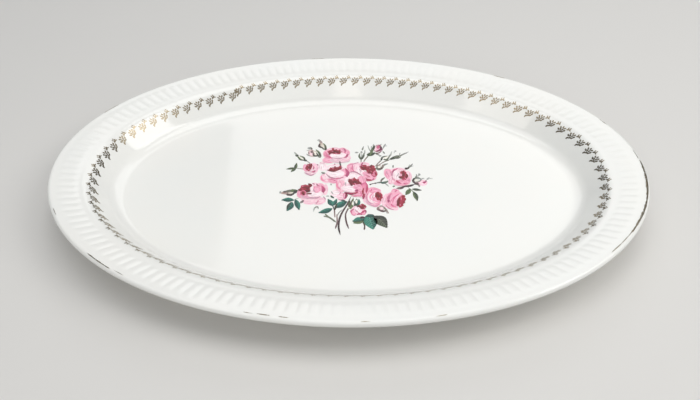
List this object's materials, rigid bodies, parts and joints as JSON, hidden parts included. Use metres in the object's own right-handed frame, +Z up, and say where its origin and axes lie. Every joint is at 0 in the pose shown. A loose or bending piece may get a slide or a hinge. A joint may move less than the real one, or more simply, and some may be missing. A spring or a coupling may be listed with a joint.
{
  "type": "serving platter",
  "caption": "Oval china serving platter with a fluted rim, a gold sprig border round the well's wall, a worn gilt edge and an enamel rose bouquet.",
  "frame": {"origin": "middle of the oval, on the plane that the foot ring stands on", "axes": "+X along the platter's length, +Y across it towards the tops of the roses, +Z up out of the well"},
  "size_m": [0.3602, 0.2362, 0.0265],
  "materials": {
    "glazed_china": "clear gloss glaze over warm white moulded earthenware",
    "fired_gold": "thin fired gold, worn and greyed, semi-gloss",
    "pink_enamel": "gloss overglaze enamel, pale pink petals to crimson hearts",
    "green_enamel": "gloss overglaze enamel, teal green with darker veins",
    "bud_enamel": "gloss overglaze enamel, olive green and dusty pink",
    "stem_enamel": "gloss overglaze enamel, dark purple brown"
  },
  "bodies": {
    "root": {"bud_above_right_rose": "bud_enamel", "bud_beside_rose": "bud_enamel", "bud_bottom_right": "bud_enamel", "bud_far_left": "bud_enamel", "bud_inner_right": "bud_enamel", "bud_left": "bud_enamel", "bud_outer_right": "bud_enamel", "bud_right": "bud_enamel", "bud_top_centre": "bud_enamel", "bud_top_left": "bud_enamel", "bud_top_right": "bud_enamel", "bud_twig": "bud_enamel", "bud_upper_left": "bud_enamel", "gilt_lip_line": "fired_gold", "gold_sprig_strip_1": "fired_gold", "gold_sprig_strip_2": "fired_gold", "gold_sprig_strip_3": "fired_gold", "gold_sprig_strip_4": "fired_gold", "gold_sprig_strip_5": "fired_gold", "gold_sprig_strip_6": "fired_gold", "gold_sprig_strip_7": "fired_gold", "gold_sprig_strip_8": "fired_gold", "leaf_bottom_dark": "green_enamel", "leaf_bottom_green": "green_enamel", "leaf_bottom_teal": "green_enamel", "leaves_far_left": "green_enamel", "leaves_lower_left": "green_enamel", "leaves_lower_middle": "green_enamel", "leaves_right": "green_enamel", "platter_body": "glazed_china", "rose_centre": "pink_enamel", "rose_fallen_petals": "pink_enamel", "rose_left": "pink_enamel", "rose_lower_centre": "pink_enamel", "rose_lower_right": "pink_enamel", "rose_right": "pink_enamel", "rose_small_bottom": "pink_enamel", "rose_small_left": "pink_enamel", "rose_top": "pink_enamel", "rose_upper_centre": "pink_enamel", "rose_upper_right": "pink_enamel", "stem_leafy": "stem_enamel", "stem_main": "stem_enamel", "stem_right": "stem_enamel", "stem_short": "stem_enamel"}
  },
  "joints": []
}
